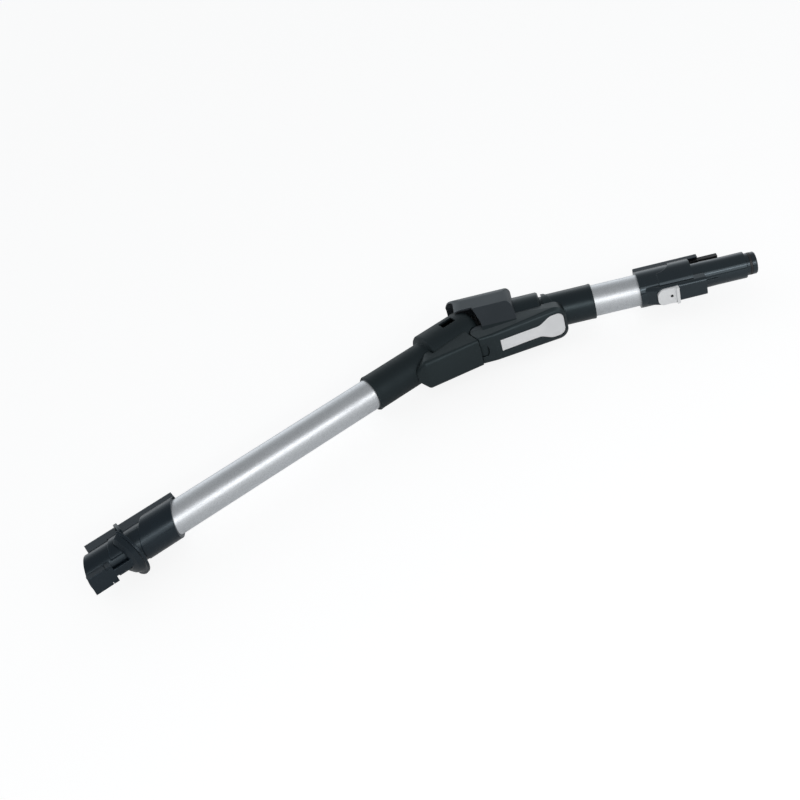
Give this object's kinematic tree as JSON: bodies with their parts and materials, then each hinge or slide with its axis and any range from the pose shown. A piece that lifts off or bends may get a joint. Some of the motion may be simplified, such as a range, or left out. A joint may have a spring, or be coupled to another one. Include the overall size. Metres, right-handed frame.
{
  "type": "bendable vacuum cleaner wand",
  "caption": "Two aluminium tubes joined by a lockable knee hinge with an inner hose, a hood and a rocking lever; a socket with pedal at one end and a spigot with button at the other.",
  "frame": {"origin": "centre of the socket mouth at the lower end, on the tube axis", "axes": "+X along the lower tube from the mouth to the knee; +Y to the back, the outside of the bend, where the rails and the hood are; +Z sideways and up as it lies"},
  "size_m": [0.702, 0.1998, 0.056],
  "materials": {
    "black_shell": "satin injection moulded plastic",
    "grey_shell": "satin dark grey injection moulded plastic",
    "inner_plastic": "matt moulded plastic",
    "tube": "satin anodised",
    "silver_plastic": "silver coated plastic",
    "steel": "plain steel",
    "contact": "plated",
    "hose": "flexible plastic",
    "cable": "cable sheath",
    "seal": "soft seal"
  },
  "bodies": {
    "lower": {"head_socket": "black_shell", "socket_rail": "black_shell", "socket_contact_block": "inner_plastic", "socket_contact_pins": "contact", "socket_seal": "seal", "pedal_pin": "steel", "pedal_spring": "steel", "lower_tube": "tube", "lower_cable": "cable", "lower_knee_housing": "black_shell", "lower_hinge_block": "black_shell", "lower_screws": "steel", "lower_hose_cuff": "inner_plastic", "flex_hose": "hose", "knee_cable": "cable"},
    "upper": {"hinge_pin": "steel", "upper_hose_cuff": "inner_plastic", "upper_knee_housing": "black_shell", "upper_knee_cover": "grey_shell", "upper_screws": "steel", "lever_pin": "steel", "lever_spring": "steel", "bolt_spring": "steel", "upper_tube": "tube", "upper_cable": "cable", "handle_spigot": "black_shell", "spigot_rail": "black_shell", "spigot_contact_block": "inner_plastic", "spigot_contact_pins": "contact", "spigot_seal": "seal", "button_spring": "steel"},
    "pedal": {"head_release_pedal": "black_shell"},
    "lever": {"push_lever": "silver_plastic"},
    "bolt": {"lock_bolt": "steel"},
    "button": {"release_button": "silver_plastic"}
  },
  "joints": [
    {"name": "knee_bend", "type": "hinge", "parent": "lower", "child": "upper", "pos_m": [0.435, -0.0285, 0], "axis": [0, 0, 1], "range_deg": [-1, 32], "deforming": ["flex_hose", "knee_cable"]},
    {"name": "lever_press", "type": "hinge", "parent": "upper", "child": "lever", "pos_m": [0.47658, -0.0541, 0], "axis": [0, 0, 1], "range_deg": [0, 3], "stiffness_Nm_per_rad": 2, "deforming": ["lever_spring"]},
    {"name": "bolt_slide", "type": "slide", "parent": "upper", "child": "bolt", "axis": [0.848, -0.5299, 0], "range_m": [0, 0.002], "deforming": ["bolt_spring"]},
    {"name": "button_press", "type": "slide", "parent": "upper", "child": "button", "axis": [0.5299, 0.848, 0], "range_m": [0, 0.0023], "stiffness_N_per_m": 400, "deforming": ["button_spring"]},
    {"name": "pedal_press", "type": "hinge", "parent": "lower", "child": "pedal", "pos_m": [0.0145, -0.0181, 0], "axis": [0, 0, 1], "range_deg": [0, 2.5], "stiffness_Nm_per_rad": 2, "deforming": ["pedal_spring"]}
  ],
  "couplings": [
    {"joint": "bolt_slide", "follows": "lever_press", "m_per_rad": 0.038}
  ]
}
